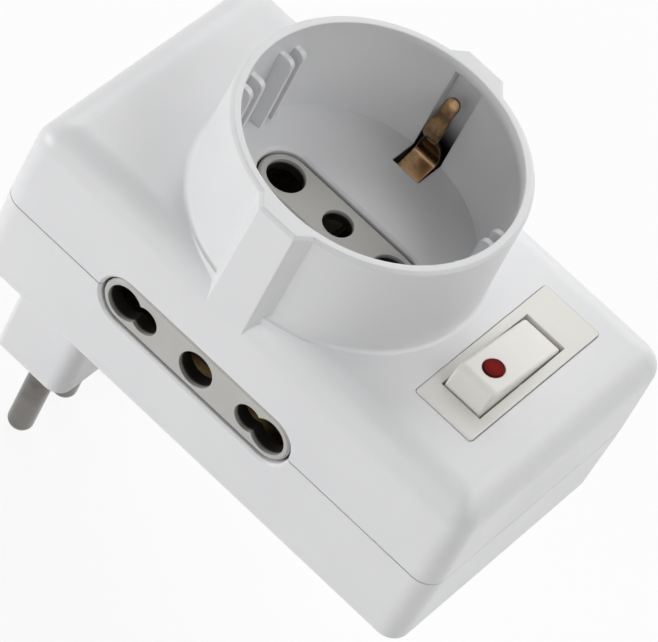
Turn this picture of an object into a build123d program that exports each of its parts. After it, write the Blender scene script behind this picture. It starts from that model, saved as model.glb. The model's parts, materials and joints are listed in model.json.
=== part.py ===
from build123d import *
from math import atan2, cos, radians, sin, sqrt, tan
import os

# Three-outlet plug adapter with a lit rocker switch, in millimetres.
# The origin is on the earth pin's axis in the plug's mating face, +X runs towards the switch,
# +Z points out of the round socket and the plug pins point down.

# Plug block and pins
plug_length = 32.0
plug_width = 12.2
plug_height = 19.9
plug_inner_corner = 2.6
plug_outer_corner = 1.0
plug_edge_round = 0.5
pin_radius = 2.0
pin_length = 18.5
pin_tip_round = 1.4
pin_pitch = 9.5
pin_shank_radius = 1.8
pin_flange_radius = 3.2
pin_flange_height = 1.5
pin_rivet_radius = 1.2
pin_rivet_head_radius = 2.0
pin_rivet_head_height = 0.7
pin_clearance = 0.1

# Housing shells
body_length = 78.3
body_width = 46.0
plug_end_setback = 12.0
rear_depth = 14.1
front_depth = 16.0
side_wall = 1.8
top_wall = 2.2
floor_wall = 2.0
corner_radius = 3.2
top_round = 4.6
ceiling_round = 2.4
bottom_round = 0.5
seam_gap = 0.15
seam_depth = 0.8
draft = 1.0
bevel_angle = 45.0

# Round earthed socket
well_end_distance = 42.7
well_radius = 19.5
well_floor_drop = 0.9
collar_height = 16.7
collar_rim_wall = 1.4
collar_base_wall = 1.8
collar_foot_round = 0.6
rim_round = 0.45
buttress_width = 6.4
buttress_flare = 1.9
buttress_flare_depth = 2.3
clip_slot_width = 4.8
clip_slot_height = 15.8
clip_slot_wall = 1.2
clip_notch_reach = 5.0
guide_rib_spacing = 6.2
guide_rib_pair_pitch = 2.5
guide_rib_thickness = 0.9
guide_rib_reach = 2.6
guide_rib_drop = 4.0
guide_rib_round = 1.1

# Socket inserts
well_pin_pitch = 9.5
well_pin_hole = 5.6
well_earth_hole = 4.5
well_insert_width = 7.7
side_pin_pitch = 13.0
side_small_pitch = 9.5
side_pin_hole = 5.6
side_small_hole = 4.4
side_insert_height = 7.3
insert_gap = 0.35
insert_window_bevel = 0.4
insert_recess = 0.4
insert_flange_margin = 1.7
insert_flange_depth = 1.2
insert_hole_chamfer = 0.3

# Stamped contact strips
strip = 0.7
strip_width = 4.0
strip_fold_radius = 0.6
contact_gap = 3.8
contact_clearance = 6.0
contact_inner_end = 5.0
contact_web_offset = 3.0
contact_tip_margin = 2.7
tab_pin_gap = 4.0
tab_clearance = 5.3
feed_lane_width = 3.2
feed_lane_gap = 1.3
support_wall = 1.8

# Earth clips of the round socket
clip_width = 4.0
clip_thickness = 0.6
clip_notch_gap = 0.4
clip_plate_height = 5.4
clip_plate_lean = 1.7
clip_tongue_width = 2.2
clip_tongue_height = 8.6
clip_tongue_lean = 1.1
clip_bend_radius = 0.8

# Case screws
screw_inset = 4.8
screw_radius = 1.25
screw_length = 14.0
screw_head_radius = 2.3
screw_head_height = 1.8
screw_head_chamfer = 0.5
screw_recess_depth = 6.0
screw_clearance = 0.1
screw_boss_wall = 1.1
screw_slot_length = 2.8
screw_slot_width = 0.7
screw_slot_depth = 0.9

# Rocker switch
switch_offset = 29.2
bezel_length = 28.7
bezel_width = 9.8
bezel_shift = 1.2
bezel_proud = 0.25
bezel_gap = 0.1
bezel_corner = 0.6
switch_flange_margin = 1.4
switch_flange_height = 1.5
switch_box_length = 24.0
switch_box_width = 9.2
switch_box_depth = 14.2
switch_floor = 2.0
rocker_width = 6.3
rocker_half_length = 9.1
rocker_side_gap = 0.25
rocker_pivot_depth = 1.2
rocker_tilt = 12.0
rocker_wall = 0.8
rocker_end_round = 1.4
rocker_edge_round = 0.4
rocker_skirt = 3.2
trunnion_radius = 0.7
trunnion_clearance = 0.1
trunnion_reach = 0.8
lens_half_width = 1.5
lens_half_length = 2.1
lens_end_distance = 4.1
lens_bevel = 0.2
lens_clearance = 0.05
lens_flange = 0.35
lens_flange_height = 0.5
lamp_radius = 1.4
lamp_length = 4.4
lamp_end_round = 0.7
lamp_gap = 0.2
resistor_radius = 0.9
resistor_length = 4.0
resistor_end_chamfer = 0.25
plunger_radius = 1.1
plunger_guide_wall = 0.5
plunger_clearance = 0.15
plunger_tip_radius = 0.8
plunger_reach = 6.9
plunger_seat = 0.6
spring_wire = 0.2
spring_wire_sides = 6
spring_turns = 4.0
lever_length = 16.0
lever_width = 4.0
lever_thickness = 0.6
lever_tilt = 6.0
lever_clearance = 0.3
contact_button_radius = 0.9
contact_button_height = 0.5
terminal_pitch = 8.0
terminal_width = 4.8
terminal_thickness = 0.8
terminal_slot_gap = 0.1
terminal_foot = 2.4

# Heights and places that follow from the sizes above
parting_z = plug_height + rear_depth
top_z = parting_z + front_depth
floor_z = plug_height + floor_wall
ceiling_z = top_z - top_wall
well_floor_z = top_z - well_floor_drop
rim_z = top_z + collar_height
left_x = -plug_end_setback
right_x = left_x + body_length
middle_x = left_x + body_length / 2
well_x = right_x - well_end_distance
half_width = body_width / 2
inner_half_width = half_width - side_wall
draft_slope = tan(radians(draft))
strip_z = floor_z + pin_flange_height
strip_top_z = strip_z + strip
insert_flange_half = side_insert_height / 2 + insert_flange_margin
insert_back_y = inner_half_width - insert_flange_depth
contact_end_y = insert_back_y - contact_clearance
channel_half = contact_gap / 2 + strip
well_insert_flange_z = ceiling_z - insert_flange_depth
tab_bottom_z = parting_z - channel_half
tab_top_z = well_insert_flange_z - tab_clearance
feed_lane_y = pin_pitch + strip_width / 2 + feed_lane_gap + feed_lane_width / 2
screw_sites = [
    (x, y)
    for x in (left_x + screw_inset, right_x - screw_inset)
    for y in (-half_width + screw_inset, half_width - screw_inset)
]
screw_seat_z = plug_height + screw_recess_depth
screw_boss_radius = screw_head_radius + screw_clearance + screw_boss_wall

# Switch geometry: the rocker turns on an X axis under the bezel, its ends are arcs about that axis
switch_x = well_x + switch_offset
bezel_z = top_z + bezel_proud
pivot_z = bezel_z - rocker_pivot_depth
switch_base_z = bezel_z - switch_box_depth
switch_floor_z = switch_base_z + switch_floor
rocker_radius = sqrt(rocker_half_length**2 + rocker_pivot_depth**2)
corner_angle = radians(rocker_tilt) + atan2(rocker_pivot_depth, rocker_half_length)
rocker_top = rocker_radius * sin(corner_angle)
rocker_corner = rocker_radius * cos(corner_angle)
cavity_width = rocker_width + 2 * rocker_side_gap
cavity_length = 2 * (rocker_radius + rocker_side_gap)
rocker_ceiling = rocker_top - rocker_wall
plunger_bore = plunger_radius + plunger_clearance
lens_y = lens_end_distance - rocker_corner
lever_top = plunger_reach + lever_clearance
lever_z = pivot_z - lever_top - lever_thickness / 2
rest = radians(-rocker_tilt)
rocker_across = (0, cos(rest), sin(rest))
rocker_up = (0, -sin(rest), cos(rest))
rocker_side_plane = Plane(origin=(switch_x, 0, pivot_z), x_dir=rocker_across, z_dir=(1, 0, 0))
rocker_plane = Plane(origin=(switch_x, 0, pivot_z), x_dir=(1, 0, 0), z_dir=rocker_up)
lever_rest = radians(lever_tilt)
lever_across = (0, cos(lever_rest), sin(lever_rest))
lever_up = (0, -sin(lever_rest), cos(lever_rest))
lever_side_plane = Plane(origin=(switch_x, 0, lever_z), x_dir=lever_across, z_dir=(1, 0, 0))
lever_plane = Plane(origin=(switch_x, 0, lever_z), x_dir=(1, 0, 0), z_dir=lever_up)

os.makedirs("parts", exist_ok=True)


def save(piece, name):
    # Labels a finished piece and writes it under its node name
    piece.part.label = name
    export_step(piece.part, f"parts/{name}.step")


# Front cover: drafted shell, collar with buttresses, socket well, switch opening
collar_base_radius = well_radius + collar_base_wall
collar_rim_radius = well_radius + collar_rim_wall
buttress_start_z = top_z - top_round
buttress_half = half_width - (buttress_start_z - parting_z) * draft_slope
clip_slot_back = half_width - (rim_z - parting_z) * draft_slope - clip_slot_wall
with BuildPart() as front_cover:
    with BuildSketch(Plane.XY.offset(parting_z)):
        with Locations((middle_x, 0)):
            RectangleRounded(body_length, body_width, corner_radius)
    extrude(amount=front_depth, taper=draft)
    fillet(front_cover.edges().group_by(Axis.Z)[-1], top_round)
    with BuildSketch(Plane.XZ):
        with BuildLine():
            Polyline(
                (well_x + collar_base_radius, top_z + collar_foot_round),
                (well_x + collar_rim_radius, rim_z),
                (well_x, rim_z),
                (well_x, ceiling_z),
                (well_x + collar_base_radius + collar_foot_round, ceiling_z),
                (well_x + collar_base_radius + collar_foot_round, top_z),
            )
            RadiusArc(
                (well_x + collar_base_radius + collar_foot_round, top_z),
                (well_x + collar_base_radius, top_z + collar_foot_round),
                collar_foot_round,
            )
        make_face()
    revolve(axis=Axis((well_x, 0, 0), (0, 0, 1)))
    with BuildSketch(Plane.XY.offset(buttress_start_z)):
        with BuildLine():
            Polyline(
                (well_x + buttress_width / 2, -buttress_half),
                (well_x + buttress_width / 2 + buttress_flare, buttress_flare_depth - buttress_half),
                (well_x + buttress_width / 2 + buttress_flare, buttress_half - buttress_flare_depth),
                (well_x + buttress_width / 2, buttress_half),
                (well_x - buttress_width / 2, buttress_half),
                (well_x - buttress_width / 2 - buttress_flare, buttress_half - buttress_flare_depth),
                (well_x - buttress_width / 2 - buttress_flare, buttress_flare_depth - buttress_half),
                (well_x - buttress_width / 2, -buttress_half),
                close=True,
            )
        make_face()
    extrude(amount=rim_z - buttress_start_z, taper=draft)
    chamfer(front_cover.edges().group_by(Axis.Z)[-1], rim_round)
    # Inside of the shell
    with BuildPart(mode=Mode.SUBTRACT) as shell_room:
        with BuildSketch(Plane.XY.offset(parting_z)):
            with Locations((middle_x, 0)):
                RectangleRounded(
                    body_length - 2 * side_wall, body_width - 2 * side_wall, corner_radius - side_wall
                )
        extrude(amount=ceiling_z - parting_z)
        fillet(shell_room.edges().group_by(Axis.Z)[-1], ceiling_round)
    # Socket well
    with BuildSketch(Plane.XY.offset(well_floor_z)):
        with Locations((well_x, 0)):
            Circle(well_radius)
    extrude(amount=rim_z - well_floor_z, mode=Mode.SUBTRACT)
    # Guide ribs on the well's end walls
    guide_rib_height = rim_z - guide_rib_drop - well_floor_z + well_floor_drop
    guide_rib_z = rim_z - guide_rib_drop - guide_rib_height / 2
    guide_rib_root = well_radius + collar_rim_wall / 2
    inner_rib_y = guide_rib_spacing / 2
    outer_rib_y = inner_rib_y + guide_rib_pair_pitch
    for side in (-1, 1):
        for rib_y in (-outer_rib_y, -inner_rib_y, inner_rib_y, outer_rib_y):
            rib_start = well_radius - guide_rib_reach
            rib_end = sqrt(guide_rib_root**2 - (abs(rib_y) + guide_rib_thickness / 2) ** 2)
            with BuildSketch(Plane.XZ.offset(-rib_y)) as rib_profile:
                with Locations((well_x + side * (rib_start + rib_end) / 2, guide_rib_z)):
                    Rectangle(rib_end - rib_start, guide_rib_height)
                rib_corners = rib_profile.vertices().group_by(Axis.Y)[-1].sort_by(Axis.X)
                fillet(rib_corners[0 if side > 0 else -1], guide_rib_round)
            extrude(amount=guide_rib_thickness / 2, both=True)
    # Slots and floor notches for the earth clips
    slot_inner = well_radius - clip_notch_reach
    for side in (-1, 1):
        with BuildSketch(Plane.XY.offset(ceiling_z)):
            with Locations((well_x, side * (slot_inner + clip_slot_back) / 2)):
                Rectangle(clip_slot_width, clip_slot_back - slot_inner)
        extrude(amount=well_floor_z + clip_slot_height - ceiling_z, mode=Mode.SUBTRACT)
    # Window for the well's insert
    with BuildSketch(Plane.XY.offset(ceiling_z)):
        with Locations((well_x, 0)):
            SlotCenterToCenter(2 * well_pin_pitch, well_insert_width + 2 * insert_gap)
    extrude(amount=well_floor_z - ceiling_z, mode=Mode.SUBTRACT)
    with BuildSketch(Plane.XY.offset(well_floor_z)):
        with Locations((well_x, 0)):
            SlotCenterToCenter(
                2 * well_pin_pitch, well_insert_width + 2 * (insert_gap + insert_window_bevel)
            )
    extrude(amount=-insert_window_bevel, taper=bevel_angle, mode=Mode.SUBTRACT)
    # Opening for the switch
    with BuildSketch(Plane.XY.offset(ceiling_z)):
        with Locations((switch_x, bezel_shift)):
            RectangleRounded(bezel_width + 2 * bezel_gap, bezel_length + 2 * bezel_gap, bezel_corner)
    extrude(amount=top_wall, mode=Mode.SUBTRACT)
    # Half windows for the side inserts
    with BuildSketch(Plane.XZ):
        with Locations((well_x, parting_z)):
            SlotCenterToCenter(2 * side_pin_pitch, side_insert_height + 2 * insert_gap)
    extrude(amount=half_width, both=True, mode=Mode.SUBTRACT)
    for side in (-1, 1):
        with BuildSketch(Plane.XZ.offset(-side * half_width)):
            with Locations((well_x, parting_z)):
                SlotCenterToCenter(
                    2 * side_pin_pitch, side_insert_height + 2 * (insert_gap + insert_window_bevel)
                )
        extrude(amount=side * insert_window_bevel, taper=bevel_angle, mode=Mode.SUBTRACT)
    # Screw bosses
    with BuildSketch(Plane.XY.offset(parting_z)):
        with Locations(*screw_sites):
            Circle(screw_boss_radius - screw_boss_wall)
        with Locations(*screw_sites):
            Circle(screw_radius + screw_clearance, mode=Mode.SUBTRACT)
    extrude(amount=ceiling_z - parting_z)
save(front_cover, "front_cover")

# Rear cover: drafted tray, plug block, screw posts and the walls that carry the contacts
support_y = contact_inner_end + support_wall / 2
support_length = 2 * (side_pin_pitch + contact_web_offset - strip)
with BuildPart() as rear_cover:
    with BuildSketch(Plane.XY.offset(parting_z)):
        with Locations((middle_x, 0)):
            RectangleRounded(body_length, body_width, corner_radius)
    extrude(amount=-rear_depth, taper=draft)
    fillet(rear_cover.edges().group_by(Axis.Z)[0], bottom_round)
    with BuildSketch(Plane.XY.offset(floor_z)):
        with Locations((middle_x, 0)):
            RectangleRounded(
                body_length - 2 * side_wall, body_width - 2 * side_wall, corner_radius - side_wall
            )
    extrude(amount=parting_z - floor_z, mode=Mode.SUBTRACT)
    # Shadow gap around the seam
    with BuildSketch(Plane.XY.offset(parting_z)):
        with Locations((middle_x, 0)):
            Rectangle(body_length + 2 * seam_gap, body_width + 2 * seam_gap)
            RectangleRounded(
                body_length - 2 * seam_depth,
                body_width - 2 * seam_depth,
                corner_radius - seam_depth,
                mode=Mode.SUBTRACT,
            )
    extrude(amount=-seam_gap, mode=Mode.SUBTRACT)
    # Plug block
    with BuildSketch() as plug_outline:
        Rectangle(plug_width, plug_length)
        fillet(plug_outline.vertices().group_by(Axis.X)[-1], plug_inner_corner)
        fillet(plug_outline.vertices().group_by(Axis.X)[0], plug_outer_corner)
    extrude(amount=floor_z)
    fillet(rear_cover.edges().group_by(Axis.Z)[0], plug_edge_round)
    with BuildSketch():
        with GridLocations(0, pin_pitch, 1, 3):
            Circle(pin_shank_radius + pin_clearance)
    extrude(amount=floor_z, mode=Mode.SUBTRACT)
    # Half windows for the side inserts
    with BuildSketch(Plane.XZ):
        with Locations((well_x, parting_z)):
            SlotCenterToCenter(2 * side_pin_pitch, side_insert_height + 2 * insert_gap)
    extrude(amount=half_width, both=True, mode=Mode.SUBTRACT)
    for side in (-1, 1):
        with BuildSketch(Plane.XZ.offset(-side * half_width)):
            with Locations((well_x, parting_z)):
                SlotCenterToCenter(
                    2 * side_pin_pitch, side_insert_height + 2 * (insert_gap + insert_window_bevel)
                )
        extrude(amount=side * insert_window_bevel, taper=bevel_angle, mode=Mode.SUBTRACT)
    # Screw posts with head recesses opening underneath
    with BuildSketch(Plane.XY.offset(floor_z)):
        with Locations(*screw_sites):
            Circle(screw_boss_radius)
    extrude(amount=parting_z - floor_z)
    with Locations(*[(x, y, plug_height) for x, y in screw_sites]):
        Cylinder(
            screw_head_radius + screw_clearance,
            screw_recess_depth,
            align=(Align.CENTER, Align.CENTER, Align.MIN),
            mode=Mode.SUBTRACT,
        )
    with Locations(*[(x, y, plug_height) for x, y in screw_sites]):
        Cylinder(
            screw_radius + screw_clearance,
            rear_depth,
            align=(Align.CENTER, Align.CENTER, Align.MIN),
            mode=Mode.SUBTRACT,
        )
    # Two long walls under the contact channels
    with BuildSketch(Plane.XY.offset(floor_z)):
        with Locations((well_x, -support_y), (well_x, support_y)):
            Rectangle(support_length, support_wall)
    extrude(amount=parting_z - channel_half - floor_z)
    # Stops behind the side inserts
    stop_x = side_pin_pitch + insert_flange_half - support_wall / 2
    stop_y = insert_back_y - support_wall / 2
    with BuildSketch(Plane.XY.offset(floor_z)):
        with Locations((well_x, 0)):
            with GridLocations(2 * stop_x, 2 * stop_y, 2, 2):
                Rectangle(support_wall, support_wall)
    extrude(amount=parting_z - floor_z)
    # Room for the pin flanges
    with BuildSketch(Plane.XY.offset(floor_z)):
        with GridLocations(0, pin_pitch, 1, 3):
            Circle(pin_flange_radius + pin_clearance)
    extrude(amount=parting_z - floor_z, mode=Mode.SUBTRACT)
save(rear_cover, "rear_cover")

# Insert in the floor of the round socket, with a flange under the floor
with BuildPart() as well_insert:
    with BuildSketch(Plane.XY.offset(well_insert_flange_z)):
        with Locations((well_x, 0)):
            SlotCenterToCenter(2 * well_pin_pitch, well_insert_width + 2 * insert_flange_margin)
    extrude(amount=insert_flange_depth)
    with BuildSketch(Plane.XY.offset(ceiling_z)):
        with Locations((well_x, 0)):
            SlotCenterToCenter(2 * well_pin_pitch, well_insert_width)
    extrude(amount=well_floor_z - insert_recess - ceiling_z)
    well_insert_top = well_insert.faces().sort_by(Axis.Z)[-1]
    chamfer(well_insert_top.outer_wire().edges(), insert_hole_chamfer)
    with BuildSketch(Plane.XY.offset(well_insert_flange_z)):
        with Locations((well_x - well_pin_pitch, 0), (well_x + well_pin_pitch, 0)):
            Circle(well_pin_hole / 2)
        with Locations((well_x, 0)):
            Circle(well_earth_hole / 2)
    extrude(amount=top_z - well_insert_flange_z, mode=Mode.SUBTRACT)
save(well_insert, "well_insert")


def side_insert(side):
    # Insert of a long side: a stadium in the wall's window, a flange behind the wall, keyhole openings
    with BuildPart() as insert:
        with BuildSketch(Plane.XZ.offset(-side * insert_back_y)):
            with Locations((well_x, parting_z)):
                SlotCenterToCenter(2 * side_pin_pitch, 2 * insert_flange_half)
        extrude(amount=-side * insert_flange_depth)
        with BuildSketch(Plane.XZ.offset(-side * inner_half_width)):
            with Locations((well_x, parting_z)):
                SlotCenterToCenter(2 * side_pin_pitch, side_insert_height)
        extrude(amount=-side * (side_wall - insert_recess))
        outer_face = insert.faces().sort_by(Axis.Y)[-1 if side > 0 else 0]
        chamfer(outer_face.outer_wire().edges(), insert_hole_chamfer)
        with BuildSketch(Plane.XZ.offset(-side * insert_back_y)):
            with Locations((well_x, parting_z)):
                Circle(side_pin_hole / 2)
            with Locations((well_x, parting_z)):
                with GridLocations(2 * side_pin_pitch, 0, 2, 1):
                    Circle(side_pin_hole / 2)
                with GridLocations(2 * side_small_pitch, 0, 2, 1):
                    Circle(side_small_hole / 2)
        extrude(amount=-side * (half_width - insert_back_y), mode=Mode.SUBTRACT)
    return insert


save(side_insert(-1), "side_insert_front")
save(side_insert(1), "side_insert_rear")


def contact_bar(pole_x, web_x, tip_x, lane):
    # Stamped bar of one pole: two folded channels for the side sockets, a web with two upright tabs
    # for the round socket, and a strip lying on the floor along the given outline
    inward = 1 if tip_x > web_x else -1
    with BuildPart() as bar:
        for start_y in (contact_inner_end, -contact_end_y):
            with BuildSketch(Plane.XZ.offset(-start_y)):
                with BuildLine():
                    FilletPolyline(
                        (tip_x, parting_z - channel_half + strip / 2),
                        (web_x, parting_z - channel_half + strip / 2),
                        (web_x, parting_z + channel_half - strip / 2),
                        (tip_x, parting_z + channel_half - strip / 2),
                        radius=strip_fold_radius,
                    )
                trace(line_width=strip)
            extrude(amount=contact_inner_end - contact_end_y)
        with BuildSketch(Plane.YZ.offset(web_x - strip / 2)):
            with Locations((0, parting_z)):
                Rectangle(2 * contact_inner_end, 2 * (channel_half - strip_fold_radius - strip / 2))
            with Locations((0, (tab_bottom_z + tab_top_z) / 2)):
                Rectangle(tab_pin_gap + 2 * strip, tab_top_z - tab_bottom_z)
        extrude(amount=strip)
        for tab_y in (-(tab_pin_gap + strip) / 2, (tab_pin_gap + strip) / 2):
            with BuildSketch(Plane.XZ.offset(-tab_y)):
                tab_end = pole_x + inward * contact_tip_margin
                with Locations(((web_x + tab_end) / 2, (tab_bottom_z + tab_top_z) / 2)):
                    Rectangle(abs(tab_end - web_x) + strip, tab_top_z - tab_bottom_z)
            extrude(amount=strip / 2, both=True)
        with BuildSketch(Plane.XY.offset(strip_z)):
            with BuildLine():
                Polyline(*lane["outline"], close=True)
            make_face()
            for hole_y in lane["rivet_holes"]:
                with Locations((0, hole_y)):
                    Circle(pin_rivet_radius + pin_clearance, mode=Mode.SUBTRACT)
        extrude(amount=strip)
        with BuildSketch(Plane.YZ.offset(web_x - strip / 2)):
            with Locations((lane["riser_y"], (strip_z + parting_z - channel_half + strip) / 2)):
                Rectangle(lane["riser_width"], parting_z - channel_half + strip - strip_z)
        extrude(amount=strip)
    return bar


line_web_x = well_x - side_pin_pitch - contact_web_offset
neutral_web_x = well_x + side_pin_pitch + contact_web_offset
earth_web_x = well_x + contact_web_offset
strip_start_x = -pin_flange_radius
terminal_end_x = switch_x + terminal_width / 2
strip_half = strip_width / 2

# Line bar: fed from the switch along the near side of the floor
feed_near = -feed_lane_y - feed_lane_width / 2
feed_far = -feed_lane_y + feed_lane_width / 2
line_lane = {
    "outline": [
        (line_web_x - strip / 2, feed_near),
        (terminal_end_x, feed_near),
        (terminal_end_x, strip_half - terminal_pitch),
        (terminal_end_x - terminal_width, strip_half - terminal_pitch),
        (terminal_end_x - terminal_width, feed_far),
        (line_web_x - strip / 2, feed_far),
    ],
    "rivet_holes": [],
    "riser_y": -feed_lane_y,
    "riser_width": feed_lane_width,
}
line_tip_x = well_x - side_small_pitch + contact_tip_margin
save(contact_bar(well_x - well_pin_pitch, line_web_x, line_tip_x, line_lane), "line_busbar")

# Neutral bar: from its pin under the contacts and on to the lamp terminal of the switch
neutral_lane = {
    "outline": [
        (strip_start_x, pin_pitch - strip_half),
        (terminal_end_x, pin_pitch - strip_half),
        (terminal_end_x, pin_pitch + strip_half),
        (strip_start_x, pin_pitch + strip_half),
    ],
    "rivet_holes": [pin_pitch],
    "riser_y": pin_pitch,
    "riser_width": strip_width,
}
neutral_tip_x = well_x + side_small_pitch - contact_tip_margin
save(contact_bar(well_x + well_pin_pitch, neutral_web_x, neutral_tip_x, neutral_lane), "neutral_busbar")

# Earth bar: from its pin to the middle of the sockets
earth_lane = {
    "outline": [
        (strip_start_x, -strip_half),
        (earth_web_x + strip / 2, -strip_half),
        (earth_web_x + strip / 2, strip_half),
        (strip_start_x, strip_half),
    ],
    "rivet_holes": [0],
    "riser_y": 0,
    "riser_width": strip_width,
}
save(contact_bar(well_x, earth_web_x, well_x - contact_tip_margin, earth_lane), "earth_busbar")

# Line inlet strip: from the line pin to the middle terminal of the switch
inlet_turn_x = neutral_web_x + contact_web_offset
with BuildPart() as line_inlet_strip:
    with BuildSketch(Plane.XY.offset(strip_z)):
        with BuildLine():
            Polyline(
                (strip_start_x, -pin_pitch - strip_half),
                (inlet_turn_x + strip_width, -pin_pitch - strip_half),
                (inlet_turn_x + strip_width, -strip_half),
                (terminal_end_x, -strip_half),
                (terminal_end_x, strip_half),
                (inlet_turn_x, strip_half),
                (inlet_turn_x, -pin_pitch + strip_half),
                (strip_start_x, -pin_pitch + strip_half),
                close=True,
            )
        make_face()
        with Locations((0, -pin_pitch)):
            Circle(pin_rivet_radius + pin_clearance, mode=Mode.SUBTRACT)
    extrude(amount=strip)
save(line_inlet_strip, "line_inlet_strip")


def plug_pin(pin_y):
    # Turned pin: round-ended shaft, shank through the block, flange on the floor, rivet over the strip
    with BuildPart() as pin:
        with BuildSketch(Plane.XZ.offset(-pin_y)) as profile:
            with BuildLine():
                Polyline(
                    (0, -pin_length),
                    (pin_radius, -pin_length),
                    (pin_radius, 0),
                    (pin_shank_radius, 0),
                    (pin_shank_radius, floor_z),
                    (pin_flange_radius, floor_z),
                    (pin_flange_radius, strip_z),
                    (pin_rivet_radius, strip_z),
                    (pin_rivet_radius, strip_top_z),
                    (pin_rivet_head_radius, strip_top_z),
                    (pin_rivet_head_radius, strip_top_z + pin_rivet_head_height),
                    (0, strip_top_z + pin_rivet_head_height),
                    close=True,
                )
            make_face()
            fillet(profile.vertices().group_by(Axis.Y)[0].sort_by(Axis.X)[-1], pin_tip_round)
        revolve(axis=Axis((0, pin_y, 0), (0, 0, 1)))
    return pin


save(plug_pin(-pin_pitch), "line_pin")
save(plug_pin(0), "earth_pin")
save(plug_pin(pin_pitch), "neutral_pin")


def earth_clip(side):
    # Spring clip: a foot on the earth bar, a riser to the notch, a leaning plate and a round-ended tongue
    foot_z = parting_z + channel_half + clip_thickness / 2
    riser_y = slot_inner + clip_notch_gap + clip_thickness / 2
    plate_top_y = riser_y + clip_plate_lean
    shoulder_z = ceiling_z + clip_plate_height
    tongue_reach = clip_tongue_height - clip_tongue_width / 2
    with BuildPart() as clip:
        with BuildSketch(Plane.YZ.offset(well_x)):
            with BuildLine():
                FilletPolyline(
                    (side * contact_inner_end, foot_z),
                    (side * riser_y, foot_z),
                    (side * riser_y, ceiling_z),
                    (side * plate_top_y, shoulder_z),
                    (side * (plate_top_y + clip_tongue_lean), shoulder_z + clip_tongue_height),
                    radius=clip_bend_radius,
                )
            trace(line_width=clip_thickness)
        extrude(amount=clip_width / 2, both=True)
        with BuildSketch(Plane.XZ):
            with Locations((well_x, foot_z)):
                Rectangle(clip_width, 2 * (shoulder_z - foot_z))
            with Locations((well_x, shoulder_z)):
                SlotCenterToCenter(2 * tongue_reach, clip_tongue_width, rotation=90)
        extrude(amount=half_width, both=True, mode=Mode.INTERSECT)
    return clip


save(earth_clip(-1), "earth_clip_front")
save(earth_clip(1), "earth_clip_rear")

# Case screws: four alike, from below through the rear posts into the front bosses
with BuildPart() as case_screws:
    with BuildSketch(Plane.XY.offset(screw_seat_z)):
        with Locations(*screw_sites):
            Circle(screw_head_radius)
    extrude(amount=-screw_head_height)
    chamfer(case_screws.edges().group_by(Axis.Z)[0], screw_head_chamfer)
    with BuildSketch(Plane.XY.offset(screw_seat_z)):
        with Locations(*screw_sites):
            Circle(screw_radius)
    extrude(amount=screw_length)
    with BuildSketch(Plane.XY.offset(screw_seat_z - screw_head_height)):
        with Locations(*screw_sites):
            Rectangle(screw_slot_length, screw_slot_width)
        with Locations(*screw_sites):
            Rectangle(screw_slot_width, screw_slot_length)
    extrude(amount=screw_slot_depth, mode=Mode.SUBTRACT)
save(case_screws, "case_screws")

# Switch body: bezel in the cover's opening, flange under the cover, open box below
with BuildPart() as switch_body:
    with BuildSketch(Plane.XY.offset(switch_base_z)):
        with Locations((switch_x, 0)):
            Rectangle(switch_box_width, switch_box_length)
    extrude(amount=ceiling_z - switch_base_z)
    with BuildSketch(Plane.XY.offset(ceiling_z - switch_flange_height)):
        with Locations((switch_x, bezel_shift)):
            Rectangle(bezel_width + 2 * switch_flange_margin, bezel_length + 2 * switch_flange_margin)
    extrude(amount=switch_flange_height)
    with BuildSketch(Plane.XY.offset(ceiling_z)):
        with Locations((switch_x, bezel_shift)):
            RectangleRounded(bezel_width, bezel_length, bezel_corner - bezel_gap)
    extrude(amount=bezel_z - ceiling_z)
    chamfer(switch_body.edges().group_by(Axis.Z)[-1], bezel_gap)
    with BuildSketch(Plane.XY.offset(switch_floor_z)):
        with Locations((switch_x, 0)):
            Rectangle(cavity_width, cavity_length)
    extrude(amount=bezel_z - switch_floor_z, mode=Mode.SUBTRACT)
    trunnion_hole_length = cavity_width + 2 * (trunnion_reach + trunnion_clearance)
    with BuildSketch(Plane.YZ.offset(switch_x - trunnion_hole_length / 2)):
        with Locations((0, pivot_z)):
            Circle(trunnion_radius + trunnion_clearance)
    extrude(amount=trunnion_hole_length, mode=Mode.SUBTRACT)
    with BuildSketch(Plane.XY.offset(switch_base_z)):
        with Locations((switch_x, 0)):
            with GridLocations(0, terminal_pitch, 1, 3):
                Rectangle(terminal_width + 2 * terminal_slot_gap, terminal_thickness + 2 * terminal_slot_gap)
    extrude(amount=switch_floor, mode=Mode.SUBTRACT)
save(switch_body, "switch_body")

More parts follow.
